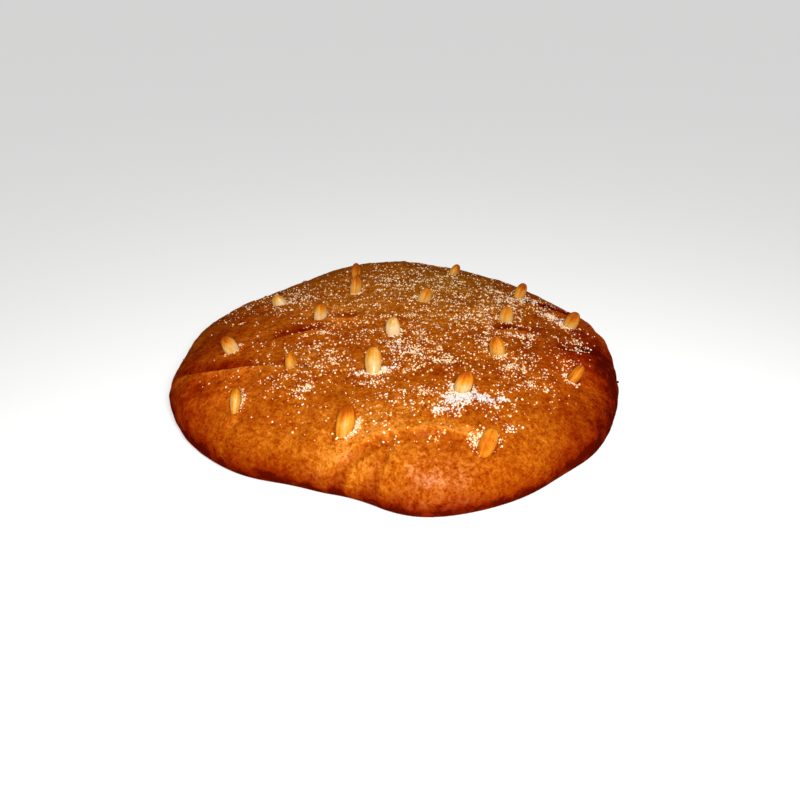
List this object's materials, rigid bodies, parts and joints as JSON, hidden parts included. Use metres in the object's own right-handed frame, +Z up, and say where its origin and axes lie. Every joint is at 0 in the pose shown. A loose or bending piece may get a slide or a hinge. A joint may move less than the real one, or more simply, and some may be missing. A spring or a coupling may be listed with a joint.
{
  "type": "olive oil biscuit",
  "caption": "Broad low round of baked oil dough with an uneven hand-shaped edge and soft folds, whole blanched almonds standing in its top and sugar scattered over it.",
  "frame": {"origin": "on the surface it lies on, under the middle of its bounding box", "axes": "+Z up out of the sugared top; -Y towards the side with the two bulging front folds; +X to the right of it seen from the front"},
  "size_m": [0.2648, 0.272, 0.0491],
  "materials": {
    "crust": "baked oil dough: golden to deep brown crust, finely pored, with a soft oily sheen, darker at the edge and foot",
    "almond": "blanched almond kernel, toasted from cream to light brown, with fine lengthwise lines",
    "sugar": "white sugar crystals baked onto the crust, matte in heaps, glinting where they lie apart"
  },
  "bodies": {
    "root": {"crust": "crust", "almond_01": "almond", "almond_02": "almond", "almond_03": "almond", "almond_04": "almond", "almond_05": "almond", "almond_06": "almond", "almond_07": "almond", "almond_08": "almond", "almond_09": "almond", "almond_10": "almond", "almond_11": "almond", "almond_12": "almond", "almond_13": "almond", "almond_14": "almond", "almond_15": "almond", "almond_16": "almond", "almond_17": "almond", "almond_18": "almond", "almond_19": "almond", "almond_20": "almond", "almond_21": "almond", "almond_22": "almond"}
  },
  "joints": []
}
